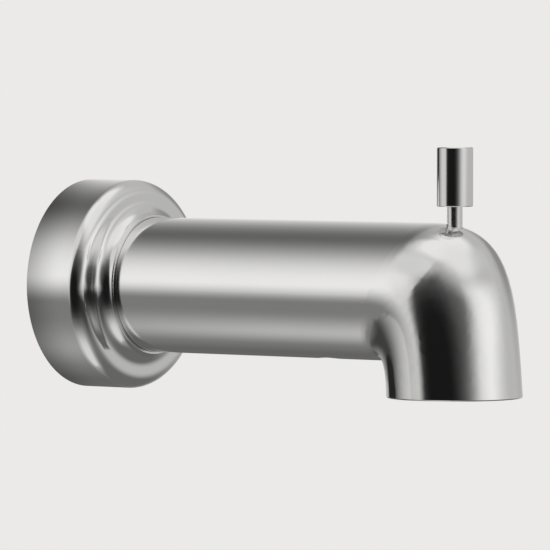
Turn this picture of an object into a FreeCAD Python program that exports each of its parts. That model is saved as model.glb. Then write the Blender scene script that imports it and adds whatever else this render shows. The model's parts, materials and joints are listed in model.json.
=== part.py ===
"""Wall-mounted bath spout with a pull-up diverter.

Frame: the origin lies on the tube's axis in the plane of the wall. +X runs out of the wall
along the spout and +Z is up. Millimetres throughout.

The shell is one casting: a straight tube that turns down into a round outlet. A stepped
escutcheon slides over its tail. Inside, a brass adapter grips the supply pipe, a nozzle carries
the water to a flat seat in the nose, and a gate on the lift rod rises to cover that seat.
"""

import FreeCAD
import Part
import Sketcher
import math
import os

Vector = FreeCAD.Vector
AXIS_X = Vector(1, 0, 0)
AXIS_Z = Vector(0, 0, 1)

doc = FreeCAD.newDocument("bath_spout")

# Driving dimensions: alias, value, meaning
DIMENSIONS = [
    ("tube_radius", 22.5, "outer radius of the straight tube"),
    ("shell_wall", 2.6, "wall of the casting"),
    ("tail_x", 5.0, "back end of the casting, short of the wall"),
    ("outlet_x", 148.1, "axis of the outlet and of the lift rod"),
    ("outlet_radius", 21.93, "outer radius of the outlet rim"),
    ("outlet_drop", 33.6, "outlet rim below the tube axis"),
    ("rim_break", 0.4, "chamfer round the outlet"),
    ("crown_setback", 8.5, "from the outlet axis back to where the crown curve starts"),
    ("crown_reach", 26.4, "length of the crown curve's first handle"),
    ("front_rise", 36.3, "length of the front curve's last handle"),
    ("front_lean", 0.078, "slope of the front curve at the rim"),
    ("throat_setback", 28.1, "from the outlet axis back to where the throat curve starts"),
    ("throat_reach", 3.5, "length of the throat curve's first handle"),
    ("throat_rise", 12.0, "length of the throat curve's last handle"),
    ("flange_wall", 2.2, "wall of the escutcheon"),
    ("rim_depth", 17.4, "length of the escutcheon's cylindrical rim"),
    ("shoulder_radius", 4.8, "rounding from the rim to the face"),
    ("cove_radius", 4.5, "hollow from the face to the neck"),
    ("face_width", 2.2, "flat ring between the rounding and the hollow"),
    ("neck_wall", 0.8, "wall of the escutcheon neck"),
    ("neck_length", 0.4, "straight part of the neck"),
    ("neck_rounding", 0.2, "rounding at the lip of the neck"),
    ("bore_clearance", 0.1, "radial play of pieces that slide into place"),
    ("running_clearance", 0.05, "radial play of the lift rod"),
    ("gasket_depth", 2.6, "thickness of the wall gasket"),
    ("gasket_width", 3.0, "radial width of the wall gasket"),
    ("gasket_lip", 1.2, "rim left outside the gasket"),
    ("hub_back_x", 16.0, "back end of the escutcheon's inner hub"),
    ("grip_ring_x", 19.0, "middle of the o-ring that grips the tube"),
    ("grip_ring_section", 1.56, "section of that o-ring"),
    ("pipe_radius", 7.94, "outer radius of the supply pipe"),
    ("socket_play", 0.11, "radial play of the pipe in its socket"),
    ("adapter_length", 33.0, "length of the adapter without its spigot"),
    ("stop_wall", 4.0, "wall in front of the pipe stop"),
    ("screw_setback", 7.1, "from the rear pipe o-ring back to the set screw"),
    ("screw_radius", 4.0, "nominal radius of the set screw"),
    ("screw_recess", 1.55, "depth of the slack set screw's head under the boss"),
    ("screw_key", 4.0, "hexagon socket across flats"),
    ("screw_point", 0.7, "chamfer of the set screw's cup point"),
    ("screw_backoff", 0.2, "gap from the slack set screw to the socket wall"),
    ("screw_boss_radius", 7.8, "boss on the adapter round the set screw"),
    ("access_radius", 4.75, "hole in the casting for the key"),
    ("pipe_ring_section", 2.1, "section of the pipe o-rings"),
    ("pipe_ring_pitch", 3.4, "spacing of the pipe o-rings"),
    ("lead_in", 1.0, "chamfer at the mouth of the socket"),
    ("barrel_wall", 4.35, "wall of the adapter's barrel"),
    ("adapter_collar", 3.0, "length of the adapter's collars"),
    ("collar_length", 4.0, "length of the nozzle's collar"),
    ("nozzle_length", 18.0, "from the step in the casting to the face of the seat"),
    ("ledge_height", 1.3, "height of that step"),
    ("ledge_length", 2.0, "length of that step"),
    ("seat_setback", 9.1, "from the lift rod's axis back to the face of the seat"),
    ("seat_radius", 9.5, "outer radius of the seat"),
    ("port_radius", 6.0, "water port through the seat"),
    ("spigot_radius", 9.0, "adapter spigot in the nozzle"),
    ("spigot_length", 4.0, "length of that spigot"),
    ("spigot_ring_section", 1.5, "section of the spigot o-ring"),
    ("clip_thickness", 1.6, "retaining ring in the bore"),
    ("clip_width", 3.0, "radial width of that ring"),
    ("clip_groove", 1.0, "depth of its groove"),
    ("ear_radius", 3.0, "ears of the retaining ring"),
    ("ear_spread", 6.3, "from the middle of the ring's gap to an ear"),
    ("ear_eye", 1.0, "radius of the pliers hole in an ear"),
    ("gate_half_height", 9.5, "half height of the gate"),
    ("gate_half_width", 11.5, "half width of the gate"),
    ("gate_thickness", 3.2, "thickness of the gate plate"),
    ("washer_radius", 8.6, "radius of the gate washer"),
    ("washer_thickness", 2.1, "thickness of the gate washer"),
    ("washer_gap", 0.25, "play between the washer and the seat"),
    ("washer_pocket", 0.9, "depth of the washer's pocket"),
    ("guide_play", 0.2, "play of the gate in its guides"),
    ("guide_grip", 1.6, "overlap of a guide rib and the gate"),
    ("rib_thickness", 2.2, "thickness of the guide ribs"),
    ("sill_height", 2.0, "sill that the open gate rests on"),
    ("lug_radius", 4.4, "lug of the gate round the rod"),
    ("lug_half_height", 4.0, "half height of that lug"),
    ("rod_radius", 2.5, "lift rod"),
    ("rod_tip_radius", 1.95, "threaded end of the lift rod"),
    ("skin_hole_radius", 2.7, "hole in the crown round the rod"),
    ("gland_cover", 5.5, "from the tube's top line down to the gland pocket"),
    ("gland_radius", 4.3, "gland pocket"),
    ("boss_radius", 6.5, "boss round the gland pocket"),
    ("boss_drop", 10.5, "from the tube's top line down to the boss's lower face"),
    ("gland_head", 1.6, "thickness of the gland's hexagon head"),
    ("gland_flats", 9.0, "gland head across flats"),
    ("stem_ring_section", 1.76, "section of the stem o-ring"),
    ("knob_radius", 5.9, "lift knob"),
    ("knob_rise", 5.3, "from the tube's top line up to the knob at rest"),
    ("knob_height", 19.0, "height of the knob"),
    ("knob_hole_depth", 9.0, "depth of the rod's hole in the knob"),
    ("edge_break", 0.25, "chamfer of turned edges"),
    ("stop_clip_radius", 4.2, "clip that ends the lift"),
    ("stop_clip_thickness", 0.8, "thickness of that clip"),
    ("stop_clip_mouth", 1.5, "half width of that clip's mouth"),
    ("clip_seat", 0.5, "depth of that clip's groove"),
    ("nut_flats", 7.0, "rod nut across flats"),
    ("nut_height", 3.2, "height of the rod nut"),
    ("rod_overrun", 0.7, "rod past the nut"),
    ("lock_washer_thickness", 0.9, "spring washer above the nut"),
    ("washer_split", 0.35, "half width of the spring washer's split"),
    ("overcut", 1.0, "how far a cutter runs past a face"),
]


class Size:
    """A number together with the sheet formula that gives it."""

    def __init__(self, value, formula):
        self.value = float(value)
        self.formula = formula

    def _join(self, other, sign, value):
        text = other.formula if isinstance(other, Size) else repr(float(other))
        return Size(value, "(%s %s %s)" % (self.formula, sign, text))

    def __add__(self, other):
        return self._join(other, "+", self.value + number(other))

    def __sub__(self, other):
        return self._join(other, "-", self.value - number(other))

    def __mul__(self, other):
        return self._join(other, "*", self.value * number(other))

    def __truediv__(self, other):
        return self._join(other, "/", self.value / number(other))

    def __neg__(self):
        return Size(-self.value, "(-1 * %s)" % self.formula)


def number(size):
    """The plain value of a Size or of a number."""
    return size.value if isinstance(size, Size) else float(size)


def formula(size):
    """The sheet formula of a Size or of a number."""
    return size.formula if isinstance(size, Size) else repr(float(size))


def make_sheet():
    """Writes the driving dimensions to a sheet and returns them as Sizes by name."""
    sheet = doc.addObject("Spreadsheet::Sheet", "Dims")
    for row, (alias, value, meaning) in enumerate(DIMENSIONS, start=1):
        sheet.set("A%d" % row, alias)
        sheet.set("B%d" % row, str(value))
        sheet.setAlias("B%d" % row, alias)
        sheet.set("C%d" % row, meaning)
    doc.recompute()
    return {alias: Size(sheet.get(alias), "Dims." + alias) for alias, _, _ in DIMENSIONS}


D = make_sheet()
ZERO = Size(0, "0")
OVERCUT = D["overcut"]

# Sizes that several pieces share
bore_radius = D["tube_radius"] - D["shell_wall"]
insert_radius = bore_radius - D["bore_clearance"]
socket_radius = D["pipe_radius"] + D["socket_play"]
flange_bore = D["tube_radius"] + D["bore_clearance"]
neck_radius = flange_bore + D["neck_wall"]
cove_top = neck_radius + D["cove_radius"]
face_radius = cove_top + D["face_width"]
flange_radius = face_radius + D["shoulder_radius"]
crown_start_x = D["outlet_x"] - D["crown_setback"]
throat_start_x = D["outlet_x"] - D["throat_setback"]
seat_x = D["outlet_x"] - D["seat_setback"]
ledge_x = seat_x - D["nozzle_length"]
collar_x = ledge_x - D["collar_length"]
mouth_x = collar_x - D["adapter_length"]
pipe_stop_x = collar_x - D["stop_wall"]
barrel_radius = socket_radius + D["barrel_wall"]
rear_ring_x = pipe_stop_x - D["pipe_ring_section"] - D["pipe_ring_pitch"]
screw_x = rear_ring_x - D["screw_setback"]
gate_back_x = seat_x + D["washer_gap"] + D["washer_thickness"] - D["washer_pocket"]
gate_front_x = gate_back_x + D["gate_thickness"]
lift = D["port_radius"] + D["gate_half_height"]
gate_rest_z = -lift
sill_top_z = gate_rest_z - D["gate_half_height"]
gland_top_z = D["tube_radius"] - D["gland_cover"]
boss_bottom_z = D["tube_radius"] - D["boss_drop"]
knob_bottom_z = D["tube_radius"] + D["knob_rise"]
gland_bottom_z = boss_bottom_z - D["gland_head"]
stop_clip_top_z = gland_bottom_z - lift
lug_top_z = gate_rest_z + D["lug_half_height"]
lug_bottom_z = gate_rest_z - D["lug_half_height"]
nut_top_z = lug_bottom_z - D["lock_washer_thickness"]
nut_bottom_z = nut_top_z - D["nut_height"]
rod_end_z = nut_bottom_z - D["rod_overrun"]
rod_hole_radius = D["rod_tip_radius"] + D["running_clearance"]
rod_top_z = knob_bottom_z + D["knob_hole_depth"] - D["edge_break"]


def new_body(name):
    """An empty PartDesign body whose label names the piece."""
    body = doc.addObject("PartDesign::Body", name)
    body.Label = name
    return body


def origin_plane(body, role):
    return [f for f in body.Origin.OriginFeatures if f.Role == role][0]


def polygon_sketch(body, name, corners, plane="XZ_Plane"):
    """A closed outline in a body's own plane. Each corner is (across, up), or
    (across, up, radius, turn) where an arc of that radius runs on to the next corner,
    turning left for turn 1 and right for turn -1."""
    sketch = body.newObject("Sketcher::SketchObject", name)
    sketch.AttachmentSupport = [(origin_plane(body, plane), "")]
    sketch.MapMode = "FlatFace"
    count = len(corners)
    places = [Vector(number(c[0]), number(c[1]), 0) for c in corners]
    starts = []
    for index, corner in enumerate(corners):
        here, there = places[index], places[(index + 1) % count]
        if len(corner) == 4:
            starts.append(add_arc(sketch, here, there, corner[2], corner[3]))
        else:
            sketch.addGeometry(Part.LineSegment(here, there), False)
            starts.append((1, 2))
    constraint = Sketcher.Constraint
    for index, corner in enumerate(corners):
        following = (index + 1) % count
        ends = (index, starts[index][1], following, starts[following][0])
        sketch.addConstraint(constraint("Coincident", *ends))
    for index, corner in enumerate(corners):
        point = starts[index][0]
        for kind, size in (("DistanceX", corner[0]), ("DistanceY", corner[1])):
            if size is ZERO:
                on_axis = "Vertical" if kind == "DistanceX" else "Horizontal"
                sketch.addConstraint(constraint(on_axis, -1, 1, index, point))
                continue
            place = sketch.addConstraint(constraint(kind, -1, 1, index, point, number(size)))
            sketch.setExpression("Constraints[%d]" % place, formula(size))
        if len(corner) == 4:
            place = sketch.addConstraint(constraint("Radius", index, number(corner[2])))
            sketch.setExpression("Constraints[%d]" % place, formula(corner[2]))
    return sketch


def add_arc(sketch, here, there, radius, turn):
    """Adds the shorter arc from here to there. Returns its start and end point numbers."""
    chord = there - here
    half = chord.Length / 2
    reach = math.sqrt(max(number(radius) ** 2 - half ** 2, 0))
    left = Vector(-chord.y, chord.x, 0).normalize()
    centre = (here + there) * 0.5 + left * (reach * turn)
    first = math.atan2(here.y - centre.y, here.x - centre.x)
    last = math.atan2(there.y - centre.y, there.x - centre.x)
    circle = Part.Circle(centre, AXIS_Z, number(radius))
    if turn > 0:
        sketch.addGeometry(Part.ArcOfCircle(circle, first, last), False)
        return (1, 2)
    sketch.addGeometry(Part.ArcOfCircle(circle, last, first), False)
    return (2, 1)


def revolved(name, corners, axis="H_Axis"):
    """A body turned from one outline about the X axis, or about Z with axis V_Axis."""
    body = new_body(name)
    sketch = polygon_sketch(body, name + "_outline", corners)
    turn = body.newObject("PartDesign::Revolution", name + "_turned")
    turn.Profile = sketch
    turn.ReferenceAxis = (sketch, [axis])
    turn.Angle = 360
    body.Tip = turn
    return body


def place_on_rod_axis(item):
    """Moves a piece that was drawn about Z to the lift rod's axis."""
    item.setExpression("Placement.Base.x", D["outlet_x"].formula)
    return item


def o_ring(name, middle_x, inner_radius, section):
    """An o-ring about the X axis."""
    ring = doc.addObject("Part::Torus", name)
    ring.Label = name
    ring.setExpression("Radius2", formula(section / 2))
    ring.setExpression("Radius1", formula(inner_radius + section / 2))
    ring.Placement = FreeCAD.Placement(Vector(), FreeCAD.Rotation(Vector(0, 1, 0), 90))
    ring.setExpression("Placement.Base.x", formula(middle_x))
    return ring


def box(name, low, high):
    """A box from its low to its high corner, each three Sizes."""
    made = doc.addObject("Part::Box", name)
    for side, axis, start, end in zip(("Length", "Width", "Height"), "xyz", low, high):
        made.setExpression(side, formula(end - start))
        made.setExpression("Placement.Base." + axis, formula(start))
    return made


def upright_cylinder(name, radius, low_z, high_z, across=None):
    """A cylinder about Z, on the rod's axis unless another X is given."""
    made = doc.addObject("Part::Cylinder", name)
    made.setExpression("Radius", formula(radius))
    made.setExpression("Height", formula(high_z - low_z))
    made.setExpression("Placement.Base.x", formula(across or D["outlet_x"]))
    made.setExpression("Placement.Base.z", formula(low_z))
    return made


def level_cylinder(name, radius, low_x, high_x):
    """A cylinder about X."""
    made = doc.addObject("Part::Cylinder", name)
    made.Placement = FreeCAD.Placement(Vector(), FreeCAD.Rotation(Vector(0, 1, 0), 90))
    made.setExpression("Radius", formula(radius))
    made.setExpression("Height", formula(high_x - low_x))
    made.setExpression("Placement.Base.x", formula(low_x))
    return made


def hexagon_prism(name, flats, low_z, height, across=None):
    """A hexagon bar about Z."""
    made = doc.addObject("Part::Prism", name)
    made.Polygon = 6
    made.setExpression("Circumradius", formula(flats / math.sqrt(3)))
    made.setExpression("Height", formula(height))
    made.setExpression("Placement.Base.x", formula(across or D["outlet_x"]))
    made.setExpression("Placement.Base.z", formula(low_z))
    return made


def cut(name, base, tool):
    made = doc.addObject("Part::Cut", name)
    made.Base = base
    made.Tool = tool
    return made


def fuse(name, *items):
    made = doc.addObject("Part::MultiFuse", name)
    made.Shapes = list(items)
    return made


def common(name, first, second):
    made = doc.addObject("Part::MultiCommon", name)
    made.Shapes = [first, second]
    return made


# The casting's skins

CIRCLE_POLES = [
    (math.cos(step * math.pi / 4), math.sin(step * math.pi / 4), step % 2) for step in range(9)
]


def elbow_solid(inset):
    """The nose, a smooth elbow. Its sections are ellipses that span two curves in the plane
    of symmetry: the crown and front outside, the throat inside. It is one exact rational
    surface, and inset moves every wall inwards."""
    top = number(D["tube_radius"]) - inset
    rim = number(D["outlet_radius"]) - inset
    floor = -number(D["outlet_drop"])
    axis_x = number(D["outlet_x"])
    crown_x = number(crown_start_x)
    rise = number(D["front_rise"])
    front_x = axis_x + rim
    crown = [
        Vector(crown_x, 0, top),
        Vector(crown_x + number(D["crown_reach"]) - inset, 0, top),
        Vector(front_x - number(D["front_lean"]) * rise, 0, floor + rise - inset),
        Vector(front_x, 0, floor),
    ]
    throat_x = number(throat_start_x) + inset
    throat = [
        Vector(throat_x, 0, -top),
        Vector(throat_x + number(D["throat_reach"]), 0, -top),
        Vector(axis_x - rim, 0, floor + number(D["throat_rise"])),
        Vector(axis_x - rim, 0, floor),
    ]
    half_widths = [top, top, rim, rim]
    poles = []
    weights = []
    for outer, inner, half_width in zip(crown, throat, half_widths):
        middle = (outer + inner) * 0.5
        reach = (outer - inner) * 0.5
        row = []
        row_weights = []
        for along, sideways, is_corner in CIRCLE_POLES:
            stretch = math.sqrt(2) if is_corner else 1.0
            side = Vector(0, half_width * sideways * stretch, 0)
            row.append(middle + reach * (along * stretch) + side)
            row_weights.append(1 / stretch)
        poles.append(row)
        weights.append(row_weights)
    surface = Part.BSplineSurface()
    surface.buildFromPolesMultsKnots(
        poles, [4, 4], [3, 2, 2, 2, 3], [0, 1], [0, 1, 2, 3, 4], False, False, 3, 2, weights
    )
    skin = surface.toShape()
    caps = [Part.Face(Part.Wire([surface.uIso(end).toShape()])) for end in (0, 1)]
    return Part.makeSolid(Part.makeShell(sewn([skin] + caps)))


def sewn(faces):
    """The faces of one closed shell, sewn along their shared edges."""
    compound = Part.makeCompound(faces)
    compound.sewShape(0.001)
    return compound.Faces


def straight_solid(inset, start_x):
    """The straight tube as far as the slanting section where the elbow begins."""
    radius = number(D["tube_radius"]) - inset
    low = Vector(number(throat_start_x) + inset, 0, -radius)
    high = Vector(number(crown_start_x), 0, radius)
    tube = Part.makeCylinder(radius, high.x - start_x, Vector(start_x, 0, 0), AXIS_X)
    reach = 4 * radius
    along = (high - low).normalize()
    across = Vector(0, 1, 0)
    corner = (low + high) * 0.5 - along * reach - across * reach
    beyond = [corner, corner + along * reach * 2]
    beyond += [beyond[1] + across * reach * 2, corner + across * reach * 2, corner]
    normal = across.cross(along)
    if normal.x < 0:
        normal = normal * -1
    return tube.cut(Part.Face(Part.makePolygon(beyond)).extrude(normal * reach))


def skin_feature(name, inset, start_x):
    """Tube and elbow in one solid, as a document object."""
    solid = straight_solid(inset, start_x).fuse(elbow_solid(inset))
    made = doc.addObject("Part::Feature", name)
    made.Shape = solid.Solids[0] if len(solid.Solids) == 1 else solid
    return made


def guide_ribs():
    """Ribs cast in the nose that guide the gate, with a sill under each groove."""
    reach = D["tube_radius"]
    inner = D["gate_half_width"] - D["guide_grip"]
    groove_bottom = D["gate_half_width"] + D["guide_play"]
    rear_face = gate_back_x - D["guide_play"]
    front_face = gate_front_x + D["guide_play"]
    seat_clear_z = -D["seat_radius"] - D["guide_play"] * 2
    low_z = sill_top_z - D["sill_height"]
    pieces = []
    for side, name in ((1, "left"), (-1, "right")):
        near, far = (inner, reach) if side > 0 else (-reach, -inner)
        web_near, web_far = (groove_bottom, reach) if side > 0 else (-reach, -groove_bottom)
        front_low = (front_face, near, low_z)
        front_high = (front_face + D["rib_thickness"], far, D["gate_half_height"])
        rear_low = (rear_face - D["rib_thickness"], near, low_z)
        rear_high = (rear_face, far, seat_clear_z)
        web_low = (rear_face, web_near, low_z)
        web_high = (front_face, web_far, seat_clear_z)
        sill_low = (rear_face, near, low_z)
        sill_high = (front_face, far, sill_top_z)
        pieces.append(box("rib_front_" + name, front_low, front_high))
        pieces.append(box("rib_rear_" + name, rear_low, rear_high))
        pieces.append(box("rib_web_" + name, web_low, web_high))
        pieces.append(box("rib_sill_" + name, sill_low, sill_high))
    return fuse("guide_ribs", *pieces)


def ledge_ring():
    """The step in the bore that stops the nozzle's collar."""
    end_x = ledge_x + D["ledge_length"]
    ring = level_cylinder("ledge_blank", D["tube_radius"], ledge_x, end_x)
    inner = bore_radius - D["ledge_height"]
    hole = level_cylinder("ledge_hole", inner, ledge_x - OVERCUT, end_x + OVERCUT)
    return cut("ledge_ring", ring, hole)


def rim_cutter():
    """Takes the sharp outer edge off the outlet."""
    low_z = -D["outlet_drop"] - OVERCUT
    inner = D["outlet_radius"] - D["rim_break"] - OVERCUT
    outer = D["outlet_radius"] + OVERCUT
    corners = [(inner, low_z), (outer, low_z), (outer, low_z + (outer - inner))]
    return place_on_rod_axis(revolved("rim_cutter", corners, "V_Axis"))


def make_spout_body():
    outside = skin_feature("outer_skin", 0.0, number(D["tail_x"]))
    hollow = skin_feature("inner_skin", number(D["shell_wall"]), number(D["tail_x"]))
    boss = upright_cylinder("gland_boss", D["boss_radius"], boss_bottom_z, D["tube_radius"])
    kept = fuse("cast_inside", guide_ribs(), ledge_ring(), boss)
    cavity = cut("cavity", hollow, kept)
    shell = cut("shell", outside, cavity)
    pocket = upright_cylinder(
        "gland_pocket", D["gland_radius"], boss_bottom_z - OVERCUT, gland_top_z
    )
    rod_hole = upright_cylinder(
        "rod_hole", D["skin_hole_radius"], boss_bottom_z, D["tube_radius"] + OVERCUT
    )
    access_low_z = -D["tube_radius"] - OVERCUT
    access_high_z = -bore_radius + OVERCUT
    access = upright_cylinder(
        "access_hole", D["access_radius"], access_low_z, access_high_z, screw_x
    )
    groove = level_cylinder(
        "clip_groove",
        bore_radius + D["clip_groove"],
        mouth_x - D["clip_thickness"] - D["bore_clearance"],
        mouth_x,
    )
    tools = fuse("machining", pocket, rod_hole, access, groove, rim_cutter())
    made = cut("spout_body", shell, tools)
    made.Label = "spout_body"
    return made


def make_wall_flange():
    face_x = D["rim_depth"] + D["shoulder_radius"]
    neck_x = face_x + D["cove_radius"]
    lip_x = neck_x + D["neck_length"]
    front_x = lip_x + D["neck_rounding"]
    groove_half = D["grip_ring_section"] / 2 + D["bore_clearance"]
    groove_radius = D["tube_radius"] + D["grip_ring_section"] + D["bore_clearance"]
    hub_radius = groove_radius + D["gasket_lip"]
    wall = D["flange_wall"]
    inner_rim = flange_radius - wall
    corners = [
        (ZERO, flange_radius),
        (D["rim_depth"], flange_radius, D["shoulder_radius"], -1),
        (face_x, face_radius),
        (face_x, cove_top, D["cove_radius"], 1),
        (neck_x, neck_radius),
        (lip_x, neck_radius, D["neck_rounding"], -1),
        (front_x, neck_radius - D["neck_rounding"]),
        (front_x, flange_bore),
        (D["grip_ring_x"] + groove_half, flange_bore),
        (D["grip_ring_x"] + groove_half, groove_radius),
        (D["grip_ring_x"] - groove_half, groove_radius),
        (D["grip_ring_x"] - groove_half, flange_bore),
        (D["hub_back_x"], flange_bore),
        (D["hub_back_x"], hub_radius),
        (face_x - wall, hub_radius),
        (face_x - wall, face_radius, D["shoulder_radius"] - wall, 1),
        (D["rim_depth"], inner_rim),
        (D["gasket_depth"], inner_rim),
        (D["gasket_depth"], flange_radius - D["gasket_lip"]),
        (ZERO, flange_radius - D["gasket_lip"]),
    ]
    return revolved("wall_flange", corners)


def make_flange_gasket():
    outer = flange_radius - D["gasket_lip"] - D["bore_clearance"]
    inner = outer - D["gasket_width"]
    corners = [(ZERO, inner), (ZERO, outer), (D["gasket_depth"], outer), (D["gasket_depth"], inner)]
    return revolved("flange_gasket", corners)


PIPE_RINGS = (("front", rear_ring_x + D["pipe_ring_pitch"]), ("rear", rear_ring_x))


def make_inlet_adapter():
    """The socket that takes the supply pipe, with two o-ring grooves and a screw boss."""
    groove_radius = D["pipe_radius"] + D["pipe_ring_section"] + D["bore_clearance"]
    half = D["pipe_ring_section"] / 2 + D["bore_clearance"]
    spigot_end = collar_x + D["spigot_length"]
    ring_half = D["spigot_ring_section"] / 2 + D["bore_clearance"]
    ring_x = collar_x + D["spigot_length"] / 2
    ring_floor = D["spigot_radius"] - D["spigot_ring_section"] + D["bore_clearance"]
    rear_end = mouth_x + D["adapter_collar"]
    front_start = collar_x - D["adapter_collar"]
    corners = [
        (mouth_x, socket_radius + D["lead_in"]),
        (mouth_x, insert_radius),
        (rear_end, insert_radius),
        (rear_end, barrel_radius),
        (front_start, barrel_radius),
        (front_start, insert_radius),
        (collar_x, insert_radius),
        (collar_x, D["spigot_radius"]),
        (ring_x - ring_half, D["spigot_radius"]),
        (ring_x - ring_half, ring_floor),
        (ring_x + ring_half, ring_floor),
        (ring_x + ring_half, D["spigot_radius"]),
        (spigot_end, D["spigot_radius"]),
        (spigot_end, D["port_radius"]),
        (pipe_stop_x, D["port_radius"]),
        (pipe_stop_x, socket_radius),
    ]
    for _, middle in PIPE_RINGS:
        corners += [
            (middle + half, socket_radius),
            (middle + half, groove_radius),
            (middle - half, groove_radius),
            (middle - half, socket_radius),
        ]
    corners.append((mouth_x + D["lead_in"], socket_radius))
    barrel = revolved("adapter_barrel", corners)
    boss_root = -barrel_radius + OVERCUT
    boss = upright_cylinder(
        "screw_boss", D["screw_boss_radius"], -insert_radius, boss_root, screw_x
    )
    envelope = level_cylinder("boss_envelope", insert_radius, mouth_x, collar_x)
    solid = fuse("adapter_cast", barrel, common("boss_trimmed", boss, envelope))
    thread = upright_cylinder(
        "screw_thread", D["screw_radius"], -D["tube_radius"], ZERO, screw_x
    )
    made = cut("inlet_adapter", solid, thread)
    made.Label = "inlet_adapter"
    return made


def make_set_screw():
    """A socket set screw with a cup point, just clear of the pipe."""
    radius = D["screw_radius"] - D["running_clearance"]
    tip_z = -socket_radius - D["screw_backoff"]
    low_z = -insert_radius + D["screw_recess"]
    break_edge = D["edge_break"]
    point = D["screw_point"]
    corners = [
        (ZERO, low_z),
        (radius - break_edge, low_z),
        (radius, low_z + break_edge),
        (radius, tip_z - point),
        (radius - point, tip_z),
        (radius - point * 2, tip_z),
        (ZERO, tip_z - point * 2),
    ]
    blank = revolved("screw_blank", corners, "V_Axis")
    blank.setExpression("Placement.Base.x", screw_x.formula)
    key_length = (tip_z - low_z) / 2 + OVERCUT
    key = hexagon_prism("screw_key_hole", D["screw_key"], low_z - OVERCUT, key_length, screw_x)
    made = cut("pipe_set_screw", blank, key)
    made.Label = "pipe_set_screw"
    return made


def make_retaining_ring():
    """An internal circlip: a thin ring, open below, with an ear at each end."""
    low_x = mouth_x - D["clip_thickness"]
    outer = bore_radius + D["clip_groove"] - D["running_clearance"]
    inner = outer - D["clip_width"]
    cut_low_x = low_x - OVERCUT
    cut_high_x = mouth_x + OVERCUT
    blank = level_cylinder("clip_blank", outer, low_x, mouth_x)
    hole = level_cylinder("clip_hole", inner, cut_low_x, cut_high_x)
    half_gap = D["ear_spread"] - D["ear_radius"]
    opening = box(
        "clip_opening",
        (cut_low_x, -half_gap, -outer - OVERCUT),
        (cut_high_x, half_gap, ZERO),
    )
    ring = cut("clip_open_ring", cut("clip_ring", blank, hole), opening)
    ears = []
    eyes = []
    for side, name in ((1, "left"), (-1, "right")):
        ear = level_cylinder("clip_ear_" + name, D["ear_radius"], low_x, mouth_x)
        eye = level_cylinder("clip_eye_" + name, D["ear_eye"], cut_low_x, cut_high_x)
        for item in (ear, eye):
            item.setExpression("Placement.Base.y", formula(D["ear_spread"] * side))
            item.setExpression("Placement.Base.z", formula(D["ear_eye"] - inner))
        ears.append(ear)
        eyes.append(eye)
    limit = level_cylinder("clip_limit", outer, low_x, mouth_x)
    solid = common("clip_trimmed", fuse("clip_with_ears", ring, *ears), limit)
    made = cut("retaining_ring", solid, fuse("clip_eyes", *eyes))
    made.Label = "retaining_ring"
    return made


def make_seat_nozzle():
    """Carries the water from the adapter to the flat seat in the nose."""
    counterbore = D["spigot_radius"] + D["bore_clearance"]
    spigot_end = collar_x + D["spigot_length"] + D["bore_clearance"]
    corners = [
        (collar_x, counterbore),
        (collar_x, insert_radius),
        (ledge_x, insert_radius),
        (ledge_x, barrel_radius),
        (ledge_x + D["collar_length"], D["seat_radius"]),
        (seat_x, D["seat_radius"]),
        (seat_x, D["port_radius"]),
        (spigot_end, D["port_radius"]),
        (spigot_end, counterbore),
    ]
    return revolved("seat_nozzle", corners)


def make_stem_gland():
    """The bush that guides the rod and holds its o-ring up in the boss."""
    barrel = D["gland_radius"] - D["running_clearance"]
    bore = D["rod_radius"] + D["running_clearance"]
    top_z = gland_top_z - D["stem_ring_section"] - D["bore_clearance"]
    head = hexagon_prism("gland_hexagon", D["gland_flats"], gland_bottom_z, D["gland_head"])
    shank = upright_cylinder("gland_shank", barrel, gland_bottom_z, top_z)
    hole = upright_cylinder("gland_bore", bore, gland_bottom_z - OVERCUT, top_z + OVERCUT)
    made = cut("stem_gland", fuse("gland_solid", head, shank), hole)
    made.Label = "stem_gland"
    return made


def make_stem_ring():
    ring = doc.addObject("Part::Torus", "stem_o_ring")
    ring.Label = "stem_o_ring"
    section = D["stem_ring_section"]
    inner = D["rod_radius"] + D["running_clearance"] / 2
    ring.setExpression("Radius2", formula(section / 2))
    ring.setExpression("Radius1", formula(inner + section / 2))
    ring.setExpression("Placement.Base.z", formula(gland_top_z - section / 2))
    return place_on_rod_axis(ring)


def make_lift_rod():
    groove_low = stop_clip_top_z - D["stop_clip_thickness"]
    groove_radius = D["rod_radius"] - D["clip_seat"]
    break_edge = D["edge_break"]
    corners = [
        (ZERO, rod_end_z),
        (D["rod_tip_radius"] - break_edge, rod_end_z),
        (D["rod_tip_radius"], rod_end_z + break_edge),
        (D["rod_tip_radius"], lug_top_z),
        (D["rod_radius"], lug_top_z),
        (D["rod_radius"], groove_low),
        (groove_radius, groove_low),
        (groove_radius, stop_clip_top_z),
        (D["rod_radius"], stop_clip_top_z),
        (D["rod_radius"], rod_top_z - break_edge),
        (D["rod_radius"] - break_edge, rod_top_z),
        (ZERO, rod_top_z),
    ]
    return place_on_rod_axis(revolved("lift_rod", corners, "V_Axis"))


def make_knob():
    top_z = knob_bottom_z + D["knob_height"]
    hole = D["rod_radius"] + D["running_clearance"]
    roof_z = knob_bottom_z + D["knob_hole_depth"]
    break_edge = D["edge_break"]
    corners = [
        (hole, knob_bottom_z),
        (D["knob_radius"] - break_edge, knob_bottom_z),
        (D["knob_radius"], knob_bottom_z + break_edge),
        (D["knob_radius"], top_z - break_edge),
        (D["knob_radius"] - break_edge, top_z),
        (ZERO, top_z),
        (ZERO, roof_z),
        (hole, roof_z),
    ]
    return place_on_rod_axis(revolved("diverter_knob", corners, "V_Axis"))


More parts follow.
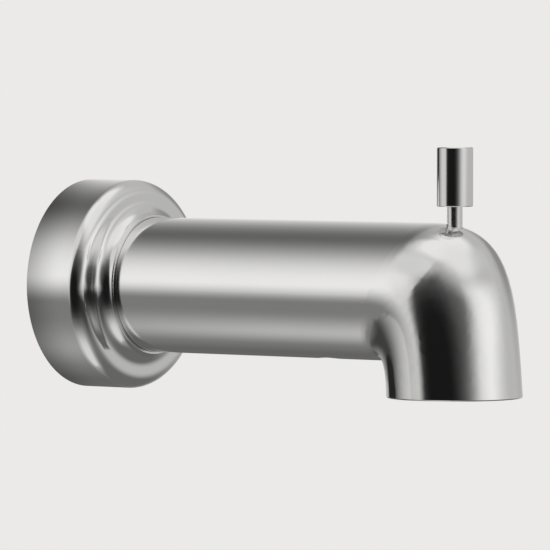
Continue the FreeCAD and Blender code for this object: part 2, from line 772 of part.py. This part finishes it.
def make_stop_clip():
    """An open clip in the rod's groove, which meets the gland at full lift."""
    low_z = stop_clip_top_z - D["stop_clip_thickness"]
    hole_radius = D["rod_radius"] - D["clip_seat"]
    cut_low_z = low_z - OVERCUT
    cut_high_z = stop_clip_top_z + OVERCUT
    blank = upright_cylinder("stop_blank", D["stop_clip_radius"], low_z, stop_clip_top_z)
    hole = upright_cylinder("stop_hole", hole_radius, cut_low_z, cut_high_z)
    mouth = box(
        "stop_mouth",
        (D["outlet_x"], -D["stop_clip_mouth"], cut_low_z),
        (D["outlet_x"] + D["stop_clip_radius"] + OVERCUT, D["stop_clip_mouth"], cut_high_z),
    )
    made = cut("stop_clip", blank, fuse("stop_tools", hole, mouth))
    made.Label = "stop_clip"
    return made


def make_gate():
    """The plate that slides in the guides, with the washer's pocket and the rod's lug."""
    plate = box(
        "gate_plate",
        (gate_back_x, -D["gate_half_width"], gate_rest_z - D["gate_half_height"]),
        (gate_front_x, D["gate_half_width"], gate_rest_z + D["gate_half_height"]),
    )
    eye = upright_cylinder("gate_eye", D["lug_radius"], lug_bottom_z, lug_top_z)
    neck = box(
        "gate_neck",
        (gate_back_x + D["washer_pocket"] + OVERCUT, -D["lug_radius"], lug_bottom_z),
        (D["outlet_x"], D["lug_radius"], lug_top_z),
    )
    pocket = level_cylinder(
        "washer_pocket_tool",
        D["washer_radius"] + D["bore_clearance"],
        gate_back_x - OVERCUT,
        gate_back_x + D["washer_pocket"],
    )
    pocket.setExpression("Placement.Base.z", formula(gate_rest_z))
    hole = upright_cylinder(
        "gate_hole", rod_hole_radius, lug_bottom_z - OVERCUT, lug_top_z + OVERCUT
    )
    made = cut("gate", fuse("gate_solid", plate, eye, neck), fuse("gate_tools", pocket, hole))
    made.Label = "gate"
    return made


def make_gate_washer():
    low_x = seat_x + D["washer_gap"]
    made = level_cylinder(
        "gate_washer", D["washer_radius"], low_x, low_x + D["washer_thickness"]
    )
    made.Label = "gate_washer"
    made.setExpression("Placement.Base.z", formula(gate_rest_z))
    return made


def make_rod_nut():
    hexagon = hexagon_prism("nut_hexagon", D["nut_flats"], nut_bottom_z, D["nut_height"])
    hole = upright_cylinder(
        "nut_hole", rod_hole_radius, nut_bottom_z - OVERCUT, nut_top_z + OVERCUT
    )
    made = cut("rod_nut", hexagon, hole)
    made.Label = "rod_nut"
    return made


def make_lock_washer():
    """A split spring washer between the lug and the nut."""
    rim = D["nut_flats"] / 2
    cut_low_z = nut_top_z - OVERCUT
    cut_high_z = lug_bottom_z + OVERCUT
    blank = upright_cylinder("washer_blank", rim, nut_top_z, lug_bottom_z)
    hole = upright_cylinder("washer_hole", rod_hole_radius, cut_low_z, cut_high_z)
    slit = box(
        "washer_slit",
        (D["outlet_x"], -D["washer_split"], cut_low_z),
        (D["outlet_x"] + rim + OVERCUT, D["washer_split"], cut_high_z),
    )
    made = cut("lock_washer", blank, fuse("washer_tools", hole, slit))
    made.Label = "lock_washer"
    return made


def make_o_rings():
    pipe_ring_inner = D["pipe_radius"] + D["running_clearance"]
    spigot_floor = D["spigot_radius"] - D["spigot_ring_section"] + D["bore_clearance"]
    grip_inner = D["tube_radius"] + D["running_clearance"] / 2
    spigot_section = D["spigot_ring_section"] - D["running_clearance"]
    spigot_ring_x = collar_x + D["spigot_length"] / 2
    rings = [
        o_ring("flange_o_ring", D["grip_ring_x"], grip_inner, D["grip_ring_section"]),
        o_ring("nozzle_o_ring", spigot_ring_x, spigot_floor, spigot_section),
    ]
    for place, middle in PIPE_RINGS:
        name = "pipe_o_ring_" + place
        rings.append(o_ring(name, middle, pipe_ring_inner, D["pipe_ring_section"]))
    return rings


def make_all():
    return [
        make_spout_body(),
        make_wall_flange(),
        make_flange_gasket(),
        make_inlet_adapter(),
        make_set_screw(),
        make_retaining_ring(),
        make_seat_nozzle(),
        make_stem_gland(),
        make_stem_ring(),
        make_lift_rod(),
        make_knob(),
        make_stop_clip(),
        make_gate(),
        make_gate_washer(),
        make_rod_nut(),
        make_lock_washer(),
    ] + make_o_rings()


def check_and_write(pieces):
    """Stops on a failed object or a bad shape, then writes one STEP file for each piece."""
    for item in doc.Objects:
        if "Invalid" in item.State or "Error" in item.State:
            raise RuntimeError("%s failed: %s" % (item.Name, item.State))
    os.makedirs("parts", exist_ok=True)
    for piece in pieces:
        shape = piece.Shape
        if shape.isNull() or not shape.isValid() or not shape.Solids:
            raise RuntimeError("%s has no valid solid" % piece.Label)
        print("%-18s %2d solid %10.1f mm3" % (piece.Label, len(shape.Solids), shape.Volume))
    for piece in pieces:
        piece.Shape.exportStep(os.path.join("parts", piece.Label + ".step"))


PIECES = make_all()
doc.recompute()
check_and_write(PIECES)
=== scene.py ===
"""Looks of the bath spout: finishes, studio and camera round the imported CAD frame.

Lengths are in metres, unless a name says otherwise.
"""

import json
import math

import bpy
from mathutils import Matrix, Vector

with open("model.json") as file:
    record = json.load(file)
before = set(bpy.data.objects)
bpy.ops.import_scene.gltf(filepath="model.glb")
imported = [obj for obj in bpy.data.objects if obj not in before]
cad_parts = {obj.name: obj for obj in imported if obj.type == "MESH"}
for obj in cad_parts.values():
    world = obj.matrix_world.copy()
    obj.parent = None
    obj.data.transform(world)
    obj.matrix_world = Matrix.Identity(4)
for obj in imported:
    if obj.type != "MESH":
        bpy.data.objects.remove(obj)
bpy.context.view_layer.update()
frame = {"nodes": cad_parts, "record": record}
nodes = frame["nodes"]
scene = bpy.context.scene

# Camera, solved from the outlines in the photograph
CAMERA_AZIMUTH = math.radians(36.2231)
CAMERA_ELEVATION = math.radians(2.1326)
CAMERA_DISTANCE = 1.7633
CAMERA_TARGET = Vector((0.07662, 0.0, 0.004245))
CAMERA_LENS_MM = 350.98
SENSOR_MM = 36.0
CLIP_START, CLIP_END = 0.05, 50.0

BACK_LEVEL = Vector((math.sin(CAMERA_AZIMUTH), -math.cos(CAMERA_AZIMUTH), 0.0))
RIGHT = Vector((math.cos(CAMERA_AZIMUTH), math.sin(CAMERA_AZIMUTH), 0.0))

BACKGROUND = (0.831, 0.823, 0.807)
STUDIO_TONE = (1.0, 0.995, 0.985)

FLOOR_DROP = 0.32
FLOOR_RADIUS = 2.6
FLOOR_SIDES = 128
# The floor's own glow, and how much light it scatters, in which a shadow can show
FLOOR_GLOW = 0.8
FLOOR_CATCH = 0.25

# Where the casting's skin ends and its inside begins
TUBE_END_X = 0.122
TUBE_SKIN_RADIUS = 0.0221
OUTLET_X = 0.1481
OUTLET_TOP_Z = -0.016
OUTLET_SKIN_RADIUS = 0.0195
NOSE_HEART = (0.146, 0.0, -0.002)

# Depth over which the escutcheon's rim darkens towards the wall: painted shade in its colour
PAINTED_WALL_SHADE_DEPTH = (-0.004, 0.0145)

# Threads, and their depth as a share of the pitch
THREAD_DEPTH = 0.9
ROD_PITCH = 0.0007
ROD_THREAD_LOW, ROD_THREAD_HIGH = -0.0245, -0.0192
SCREW_PITCH = 0.00125
SCREW_LOW, SCREW_HIGH = -0.0183, -0.0082


def make_camera():
    back = BACK_LEVEL * math.cos(CAMERA_ELEVATION) + Vector((0, 0, math.sin(CAMERA_ELEVATION)))
    up = back.cross(RIGHT)
    data = bpy.data.cameras.new("camera")
    data.lens = CAMERA_LENS_MM
    data.sensor_width = SENSOR_MM
    data.clip_start = CLIP_START
    data.clip_end = CLIP_END
    camera = bpy.data.objects.new("camera", data)
    scene.collection.objects.link(camera)
    turn = Matrix((RIGHT, up, back)).transposed().to_4x4()
    camera.matrix_world = Matrix.Translation(CAMERA_TARGET + back * CAMERA_DISTANCE) @ turn
    scene.camera = camera


class Graph:
    """Short calls for building a node tree."""

    def __init__(self, tree):
        self.tree = tree
        tree.nodes.clear()

    def node(self, kind, **settings):
        made = self.tree.nodes.new(kind)
        for name, value in settings.items():
            setattr(made, name, value)
        return made

    def feed(self, socket, value):
        """Links an output to a socket, or sets the socket to a plain value."""
        if isinstance(value, bpy.types.NodeSocket):
            self.tree.links.new(value, socket)
        else:
            socket.default_value = value

    def math(self, operation, *values):
        made = self.node("ShaderNodeMath", operation=operation)
        for socket, value in zip(made.inputs, values):
            self.feed(socket, value)
        return made.outputs[0]

    def dot(self, vector, fixed):
        made = self.node("ShaderNodeVectorMath", operation="DOT_PRODUCT")
        self.feed(made.inputs[0], vector)
        made.inputs[1].default_value = fixed
        return made.outputs["Value"]

    def less(self, first, second):
        """1 where first is less than second, and 0 elsewhere."""
        return self.math("LESS_THAN", first, second)

    def both(self, first, second):
        """The part that two shares have in common."""
        return self.math("MULTIPLY", first, second)

    def distance(self, place, kept, centre):
        """How far a place is from centre along the axes that have a 1 in kept."""
        flat = self.node("ShaderNodeVectorMath", operation="MULTIPLY")
        self.feed(flat.inputs[0], place)
        flat.inputs[1].default_value = kept
        made = self.node("ShaderNodeVectorMath", operation="DISTANCE")
        self.feed(made.inputs[0], flat.outputs[0])
        made.inputs[1].default_value = centre
        return made.outputs["Value"]

    def ramp(self, value, low, high, start=0.0, end=1.0):
        """A smooth step from start to end while value goes from low to high."""
        made = self.node("ShaderNodeMapRange", interpolation_type="SMOOTHSTEP")
        for socket, number in zip(made.inputs, (value, low, high, start, end)):
            self.feed(socket, number)
        return made.outputs[0]

    def mix(self, share, first, second):
        made = self.node("ShaderNodeMix", data_type="FLOAT")
        self.feed(made.inputs[0], share)
        self.feed(made.inputs[2], first)
        self.feed(made.inputs[3], second)
        return made.outputs[0]

    def mix_colour(self, share, first, second):
        made = self.node("ShaderNodeMix", data_type="RGBA")
        self.feed(made.inputs[0], share)
        self.feed(made.inputs[6], (*first, 1.0) if isinstance(first, tuple) else first)
        self.feed(made.inputs[7], (*second, 1.0) if isinstance(second, tuple) else second)
        return made.outputs[2]


# Studio, as the polished metal shows it: soft ellipses of light and shade laid over a dome, in this
# order. Azimuth is counted from the camera's side, positive to the right, and elevation from the
# horizon, both in degrees. The edge is the share of the half axes where it starts and its width.
# Levels are radiances.
PANELS = [
    # name, centre, half axes, edge, level
    ("right_wall", (138.4, -8.4), (60, 118.8), (0.6, 0.91), 0.53),
    ("rear_left_shade", (-166, -39.5), (17.2, 34.9), (0.41, 0.6), 0.07),
    ("rear_gap", (-163.4, 8.1), (33.2, 10), (0.92, 0.53), 0.89),
    ("rear_shade", (149.4, 14.7), (23.2, 13.7), (0.41, 1.06), 0.29),
    ("bright_floor", (-3.1, -107), (113, 48.9), (0.91, 0.96), 0.74),
    ("right_floor", (124.2, -52.1), (94.2, 38.6), (0.53, 0.79), 0.15),
    ("overhead", (32.1, 107.6), (209.4, 49.9), (0.92, 0.32), 0.9),
    ("left_panel", (-77.2, 22), (39.4, 36.1), (0.32, 1.25), 0.86),
    ("left_top", (-53.6, 44.4), (36.2, 15.8), (0.5, 0.96), 0.7),
    ("right_panel", (35, 10.5), (67, 18.7), (0.56, 0.63), 0.97),
    ("right_top", (37.5, 51.2), (57.8, 33.8), (0.24, 1.41), 0.84),
    ("rear_line", (-134, -2), (16, 9), (0.75, 0.3), 0.02),
]
# The dome below the horizon, at it and overhead, and the elevations between which it changes
UNDER, WAIST, TOP = 0.055, 0.019, 0.351
WAIST_RISE = (-14.0, 4.0)
TOP_RISE = (30.0, 68.0)

# The dark room that the camera stands in, laid over the rest. Two straight edges cut it off, each
# given by the direction that it faces on the same map, 0 to the right and 90 up, and by how far out
# the dark starts and ends to fade.
ROOM = [
    ("camera_room", (-3.5, 11.3), (77.3, 28.9), (0.34, 0.39), 0.28),
    ("room_core", (-23, -4.4), (58.1, 40.5), (0.29, 1.32), 0.01),
]
ROOM_EDGES = [
    ("left", 163, (47.9, 59.9)),
    ("top_left", 142.6, (46.3, 48.9)),
]

# Strips of light along the spout on the wall's side of the studio, which the straight tube and the
# escutcheon's rim show. Their angle runs round the spout's axis: 0 is level in front of the
# tube and 90 straight above it. A strip starts and ends over an edge of its own, and it may fade
# towards the wall.
STRIP_SHADE = 0.14
STRIPS = [
    # name, rise, fall, level, fades
    ("low_shade", (-135, -95), (35, 65), 0.22, False),
    ("low_glow", (-107, -73), (-75, -33), 0.535, True),
    ("key", (-21, 11), (11, 99), 0.93, False),
    ("ceiling", (98, 200), (500, 600), 0.95, False),
]
# Where the strips fade, end on the near side and end at the wall, as the part of a direction that
# runs along the spout
STRIP_FADE = (-0.66, -0.575)
STRIP_EDGE = (-0.535, -0.45)
STRIP_END = (-0.72, -0.66)


def panel_share(g, azimuth, elevation, panel):
    """How far a direction is inside a panel's ellipse, from 0 to 1."""
    _, centre, axes, (start, width), _ = panel
    turn = g.math("WRAP", g.math("SUBTRACT", azimuth, centre[0]), 180.0, -180.0)
    across = g.math("DIVIDE", turn, axes[0])
    rise = g.math("DIVIDE", g.math("SUBTRACT", elevation, centre[1]), axes[1])
    square = g.math("ADD", g.math("POWER", across, 2.0), g.math("POWER", rise, 2.0))
    return g.ramp(g.math("SQRT", square), start, start + width, 1.0, 0.0)


def panel_level(g, direction):
    """Brightness of the dome with its panels and the dark room."""
    forward = g.dot(direction, BACK_LEVEL)
    sideways = g.dot(direction, RIGHT)
    azimuth = g.math("DEGREES", g.math("ARCTAN2", sideways, forward))
    elevation = g.math("DEGREES", g.math("ARCSINE", g.dot(direction, (0, 0, 1))))
    dome = g.ramp(elevation, *TOP_RISE, WAIST, TOP)
    level = g.mix(g.ramp(elevation, *WAIST_RISE), UNDER, dome)
    for panel in PANELS:
        level = g.mix(panel_share(g, azimuth, elevation, panel), level, panel[-1])
    inside = 1.0
    for _, facing, fade in ROOM_EDGES:
        towards = math.radians(facing)
        across = g.math("MULTIPLY", azimuth, math.cos(towards))
        rise = g.math("MULTIPLY", elevation, math.sin(towards))
        inside = g.both(inside, g.ramp(g.math("ADD", across, rise), *fade, 1.0, 0.0))
    for panel in ROOM:
        share = g.both(inside, panel_share(g, azimuth, elevation, panel))
        level = g.mix(share, level, panel[-1])
    return level


def with_strips(g, direction, level):
    """The same brightness with the strips along the spout laid over it."""
    roll = g.math("ARCTAN2", g.dot(direction, (0, 0, 1)), g.dot(direction, (0, -1, 0)))
    roll = g.math("DEGREES", roll)
    along = g.dot(direction, (1, 0, 0))
    strip_level = STRIP_SHADE
    for _, rise, fall, strength, fades in STRIPS:
        share = g.both(g.ramp(roll, *rise), g.ramp(roll, *fall, 1.0, 0.0))
        if fades:
            share = g.both(share, g.ramp(along, *STRIP_FADE))
        strip_level = g.mix(share, strip_level, strength)
    near_side = g.ramp(along, *STRIP_EDGE, 1.0, 0.0)
    wall_side = g.ramp(along, *STRIP_END)
    return g.mix(g.both(near_side, wall_side), level, strip_level)


def make_world():
    """The studio that the metal mirrors, behind a plain backdrop that only the camera sees."""
    world = bpy.data.worlds.new("studio")
    scene.world = world
    world.use_nodes = True
    g = Graph(world.node_tree)
    direction = g.node("ShaderNodeTexCoord").outputs["Generated"]
    level = with_strips(g, direction, panel_level(g, direction))

    studio = g.node("ShaderNodeBackground")
    g.feed(studio.inputs["Strength"], level)
    studio.inputs["Color"].default_value = (*STUDIO_TONE, 1.0)
    plain = g.node("ShaderNodeBackground")
    plain.inputs["Color"].default_value = (*BACKGROUND, 1.0)
    either = g.node("ShaderNodeMixShader")
    g.feed(either.inputs[0], g.node("ShaderNodeLightPath").outputs["Is Camera Ray"])
    g.feed(either.inputs[1], studio.outputs[0])
    g.feed(either.inputs[2], plain.outputs[0])
    g.feed(g.node("ShaderNodeOutputWorld").inputs["Surface"], either.outputs[0])


def make_floor():
    """A pale disc far below, which keeps a trace of shadow and can be seen through from below."""
    data = bpy.data.meshes.new("floor")
    rim = []
    for side in range(FLOOR_SIDES):
        angle = math.tau * side / FLOOR_SIDES
        rim.append((FLOOR_RADIUS * math.cos(angle), FLOOR_RADIUS * math.sin(angle), -FLOOR_DROP))
    data.from_pydata(rim, [], [list(range(FLOOR_SIDES))])
    floor = bpy.data.objects.new("floor", data)
    scene.collection.objects.link(floor)
    material = bpy.data.materials.new("floor")
    material.use_nodes = True
    g = Graph(material.node_tree)
    glow = g.node("ShaderNodeEmission")
    glow.inputs["Color"].default_value = (*BACKGROUND, 1.0)
    glow.inputs["Strength"].default_value = FLOOR_GLOW
    catch = g.node("ShaderNodeBsdfDiffuse")
    catch.inputs["Color"].default_value = (FLOOR_CATCH, FLOOR_CATCH, FLOOR_CATCH, 1.0)
    both = g.node("ShaderNodeAddShader")
    g.feed(both.inputs[0], glow.outputs[0])
    g.feed(both.inputs[1], catch.outputs[0])
    clear = g.node("ShaderNodeBsdfTransparent")
    either = g.node("ShaderNodeMixShader")
    g.feed(either.inputs[0], g.node("ShaderNodeNewGeometry").outputs["Backfacing"])
    g.feed(either.inputs[1], both.outputs[0])
    g.feed(either.inputs[2], clear.outputs[0])
    g.feed(g.node("ShaderNodeOutputMaterial").inputs["Surface"], either.outputs[0])
    data.materials.append(material)
    floor.visible_glossy = False
    floor.visible_diffuse = False


# Noise keeps near 0.5, so these two stand for its low and high end
NOISE_SPAN = (0.3, 0.7)

# Plating: tones, roughness, and waves per metre of the drift in each
PLATE_LIGHT = (0.87, 0.868, 0.865)
PLATE_DARK = (0.845, 0.845, 0.845)
PLATE_ROUGHNESS = (0.06, 0.09)
TONE_WAVES = 24.0
HAZE_WAVES = 38.0

# Colour of the painted shade where the rim meets the wall
PAINTED_WALL_SHADE_TONE = (0.40, 0.40, 0.398)

KNOB_DARK, KNOB_LIGHT = (0.81, 0.81, 0.81), (0.85, 0.845, 0.84)
KNOB_ROUGHNESS = (0.10, 0.13)
# Painted light: the underside takes a lighter colour than the plating, so that it doesn't show dark
KNOB_UNDER_PAINTED_LIGHT = (0.97, 0.97, 0.97)
KNOB_UNDER_ROUGHNESS = 0.3
# A face that looks down more steeply than this is the underside
FACES_DOWN = -0.5

CAST_DARK, CAST_LIGHT = (0.38, 0.365, 0.34), (0.58, 0.56, 0.53)
CAST_ROUGHNESS = (0.42, 0.62)

FOAM_WAVES = 1600.0


def surface(name, colour, metallic, roughness):
    """A material with a principled shader. Returns the material, its graph and its shader."""
    material = bpy.data.materials.new(name)
    material.use_nodes = True
    g = Graph(material.node_tree)
    shader = g.node("ShaderNodeBsdfPrincipled")
    shader.inputs["Base Color"].default_value = (*colour, 1.0)
    shader.inputs["Metallic"].default_value = metallic
    shader.inputs["Roughness"].default_value = roughness
    g.feed(g.node("ShaderNodeOutputMaterial").inputs["Surface"], shader.outputs[0])
    return material, g, shader


def noise(g, waves, detail, stretch=(1.0, 1.0, 1.0)):
    """Noise over the object's own coordinates, in waves per metre."""
    spread = g.node("ShaderNodeMapping")
    g.feed(spread.inputs["Vector"], g.node("ShaderNodeTexCoord").outputs["Object"])
    spread.inputs["Scale"].default_value = stretch
    made = g.node("ShaderNodeTexNoise")
    g.feed(made.inputs["Vector"], spread.outputs[0])
    made.inputs["Scale"].default_value = waves
    made.inputs["Detail"].default_value = detail
    return made.outputs["Fac"]


def bump(g, shader, height, depth, strength):
    """Relief of a depth in metres, as shading alone."""
    made = g.node("ShaderNodeBump")
    made.inputs["Strength"].default_value = strength
    made.inputs["Distance"].default_value = depth
    g.feed(made.inputs["Height"], height)
    g.feed(shader.inputs["Normal"], made.outputs[0])


def tint(g, shader, share, dark, light):
    """Colour that drifts between two tones."""
    g.feed(shader.inputs["Base Color"], g.mix_colour(share, dark, light))


def rough(g, shader, share, low, high):
    """Roughness that drifts between two values."""
    g.feed(shader.inputs["Roughness"], g.ramp(share, *NOISE_SPAN, low, high))


def plate_tone(g, dark=PLATE_DARK, light=PLATE_LIGHT):
    """The drifting tone of plating."""
    return g.mix_colour(noise(g, TONE_WAVES, detail=1.0), dark, light)


def plate_haze(g, low, high):
    """The soft haze that drifts a little over plating, as a roughness."""
    return g.ramp(noise(g, HAZE_WAVES, detail=2.0), *NOISE_SPAN, low, high)


def chrome_with_painted_wall_shade(name):
    """Chrome with the wall's shade painted into its colour at its back edge."""
    material, g, shader = surface(name, PLATE_LIGHT, metallic=1.0, roughness=PLATE_ROUGHNESS[0])
    g.feed(shader.inputs["Roughness"], plate_haze(g, *PLATE_ROUGHNESS))
    depth = g.dot(g.node("ShaderNodeTexCoord").outputs["Object"], (1, 0, 0))
    # Painted shade: the colour darkens towards the wall
    shade = g.ramp(depth, *PAINTED_WALL_SHADE_DEPTH)
    g.feed(shader.inputs["Base Color"], g.mix_colour(shade, PAINTED_WALL_SHADE_TONE, plate_tone(g)))
    return material


def knob_with_painted_light_underside(name):
    """Plated sides and top over an underside with painted light: a lighter, rougher finish that
    keeps it from showing dark.
    """
    material, g, shader = surface(name, KNOB_LIGHT, metallic=1.0, roughness=KNOB_ROUGHNESS[0])
    height = g.dot(g.node("ShaderNodeNewGeometry").outputs["True Normal"], (0, 0, 1))
    # Painted light on the faces that look down
    lightened_underside = g.less(height, FACES_DOWN)
    side = plate_tone(g, KNOB_DARK, KNOB_LIGHT)
    g.feed(shader.inputs["Base Color"], g.mix_colour(lightened_underside, side, KNOB_UNDER_PAINTED_LIGHT))
    haze = plate_haze(g, *KNOB_ROUGHNESS)
    g.feed(shader.inputs["Roughness"], g.mix(lightened_underside, haze, KNOB_UNDER_ROUGHNESS))
    return material


def plated_casting(name):
    """Chrome outside and dull cast metal inside, where the plating doesn't reach."""
    material, g, outside = surface(name, PLATE_LIGHT, metallic=1.0, roughness=PLATE_ROUGHNESS[0])
    g.feed(outside.inputs["Base Color"], plate_tone(g))
    g.feed(outside.inputs["Roughness"], plate_haze(g, *PLATE_ROUGHNESS))
    inside = g.node("ShaderNodeBsdfPrincipled")
    inside.inputs["Metallic"].default_value = 1.0
    grain = noise(g, waves=900.0, detail=5.0)
    tint(g, inside, grain, CAST_DARK, CAST_LIGHT)
    rough(g, inside, grain, *CAST_ROUGHNESS)
    bump(g, inside, grain, depth=0.00006, strength=0.6)

    place = g.node("ShaderNodeTexCoord").outputs["Object"]
    normal = g.node("ShaderNodeNewGeometry").outputs["True Normal"]
    along = g.dot(place, (1, 0, 0))
    height = g.dot(place, (0, 0, 1))
    from_tube = g.distance(place, (0, 1, 1), (0, 0, 0))
    from_outlet = g.distance(place, (1, 1, 0), (OUTLET_X, 0, 0))
    in_tube = g.both(g.less(along, TUBE_END_X), g.less(from_tube, TUBE_SKIN_RADIUS))
    in_outlet = g.both(g.less(height, OUTLET_TOP_Z), g.less(from_outlet, OUTLET_SKIN_RADIUS))
    to_heart = g.node("ShaderNodeVectorMath", operation="SUBTRACT")
    g.feed(to_heart.inputs[0], NOSE_HEART)
    g.feed(to_heart.inputs[1], place)
    facing = g.node("ShaderNodeVectorMath", operation="DOT_PRODUCT")
    g.feed(facing.inputs[0], normal)
    g.feed(facing.inputs[1], to_heart.outputs[0])
    in_nose = g.both(g.less(TUBE_END_X, along), g.less(0.0, facing.outputs["Value"]))
    hidden = g.math("MAXIMUM", g.math("MAXIMUM", in_tube, in_outlet), in_nose)
    either = g.node("ShaderNodeMixShader")
    g.feed(either.inputs[0], hidden)
    g.feed(either.inputs[1], outside.outputs[0])
    g.feed(either.inputs[2], inside.outputs[0])
    output = next(n for n in material.node_tree.nodes if n.type == "OUTPUT_MATERIAL")
    g.feed(output.inputs["Surface"], either.outputs[0])
    return material


def threaded(name, colour, roughness, pitch, low_z, high_z):
    """Metal with a screw thread along Z between two heights, in bump alone."""
    material, g, shader = surface(name, colour, metallic=1.0, roughness=roughness)
    place = g.node("ShaderNodeTexCoord").outputs["Object"]
    height = g.dot(place, (0, 0, 1))
    marks = noise(g, waves=1200.0, detail=3.0)
    tint(g, shader, marks, tuple(0.8 * part for part in colour), colour)
    rough(g, shader, marks, low=roughness * 0.8, high=roughness * 1.3)
    turns = g.math("FRACT", g.math("DIVIDE", height, pitch))
    ridge = g.math("PINGPONG", turns, 0.5)
    held = g.both(g.less(low_z, height), g.less(height, high_z))
    bump(g, shader, g.both(ridge, held), depth=pitch * THREAD_DEPTH, strength=1.0)
    return material


def brushed(name, dark, light, roughness, stretch):
    """Machined metal with fine marks along the axis whose stretch is smallest."""
    material, g, shader = surface(name, light, metallic=1.0, roughness=roughness)
    marks = noise(g, waves=900.0, detail=4.0, stretch=stretch)
    tint(g, shader, marks, dark, light)
    rough(g, shader, marks, low=roughness * 0.8, high=roughness * 1.25)
    bump(g, shader, marks, depth=0.00002, strength=0.4)
    return material


def cast_brass(name):
    """Brass as it comes from the mould, with a fine grain."""
    material, g, shader = surface(name, (0.72, 0.56, 0.30), metallic=1.0, roughness=0.34)
    grain = noise(g, waves=700.0, detail=5.0)
    tint(g, shader, noise(g, waves=60.0, detail=3.0), (0.60, 0.44, 0.22), (0.76, 0.60, 0.33))
    rough(g, shader, grain, low=0.26, high=0.42)
    bump(g, shader, grain, depth=0.00004, strength=0.5)
    return material


def rubber(name, dark, light):
    """Moulded nitrile, matt with a slight grain."""
    material, g, shader = surface(name, dark, metallic=0.0, roughness=0.62)
    grain = noise(g, waves=900.0, detail=4.0)
    tint(g, shader, grain, dark, light)
    rough(g, shader, grain, low=0.5, high=0.75)
    bump(g, shader, grain, depth=0.00003, strength=0.6)
    return material


def foam(name):
    """Closed-cell foam: small round cells."""
    material, g, shader = surface(name, (0.045, 0.045, 0.048), metallic=0.0, roughness=0.85)
    cells = g.node("ShaderNodeTexVoronoi")
    g.feed(cells.inputs["Vector"], g.node("ShaderNodeTexCoord").outputs["Object"])
    cells.inputs["Scale"].default_value = FOAM_WAVES
    tint(g, shader, cells.outputs["Distance"], (0.03, 0.03, 0.032), (0.075, 0.075, 0.078))
    bump(g, shader, cells.outputs["Distance"], depth=0.00015, strength=0.8)
    return material


def acetal(name, dark, light):
    """Moulded plastic with a fine spark-eroded grain."""
    material, g, shader = surface(name, light, metallic=0.0, roughness=0.42)
    grain = noise(g, waves=1500.0, detail=3.0)
    tint(g, shader, noise(g, waves=80.0, detail=2.0), dark, light)
    rough(g, shader, grain, low=0.36, high=0.5)
    bump(g, shader, grain, depth=0.00002, strength=0.5)
    return material


def dress(own, shared):
    """Gives each CAD node its own material, or else the one that its slot in the record shares."""
    for subpart in frame["record"]["subparts"]:
        node = subpart["node"]
        material = own[node] if node in own else shared[subpart["material_slot"]]
        nodes[node].data.materials[0] = material


make_camera()
make_world()
make_floor()
own_materials = {
    "spout_body": plated_casting("plated_casting"),
    "wall_flange": chrome_with_painted_wall_shade("chrome_with_painted_wall_shade"),
    "lift_rod": threaded(
        "polished_rod", colour=(0.94, 0.935, 0.925), roughness=0.2,
        pitch=ROD_PITCH, low_z=ROD_THREAD_LOW, high_z=ROD_THREAD_HIGH),
    "pipe_set_screw": threaded(
        "screw_thread", colour=(0.085, 0.085, 0.09), roughness=0.38,
        pitch=SCREW_PITCH, low_z=SCREW_LOW, high_z=SCREW_HIGH),
}
slot_materials = {
    "knob_chrome": knob_with_painted_light_underside("knob_chrome"),
    "cast_brass": cast_brass("cast_brass"),
    "steel": brushed(
        "steel", dark=(0.50, 0.50, 0.51), light=(0.68, 0.68, 0.69),
        roughness=0.24, stretch=(1.0, 1.0, 0.05)),
    "nitrile": rubber("nitrile", dark=(0.012, 0.012, 0.012), light=(0.035, 0.035, 0.035)),
    "foam": foam("foam"),
    "acetal": acetal("acetal", dark=(0.72, 0.72, 0.69), light=(0.82, 0.82, 0.80)),
    "dark_acetal": acetal("dark_acetal", dark=(0.035, 0.035, 0.038), light=(0.06, 0.06, 0.065)),
}
dress(own_materials, slot_materials)

scene.view_settings.view_transform = "Standard"
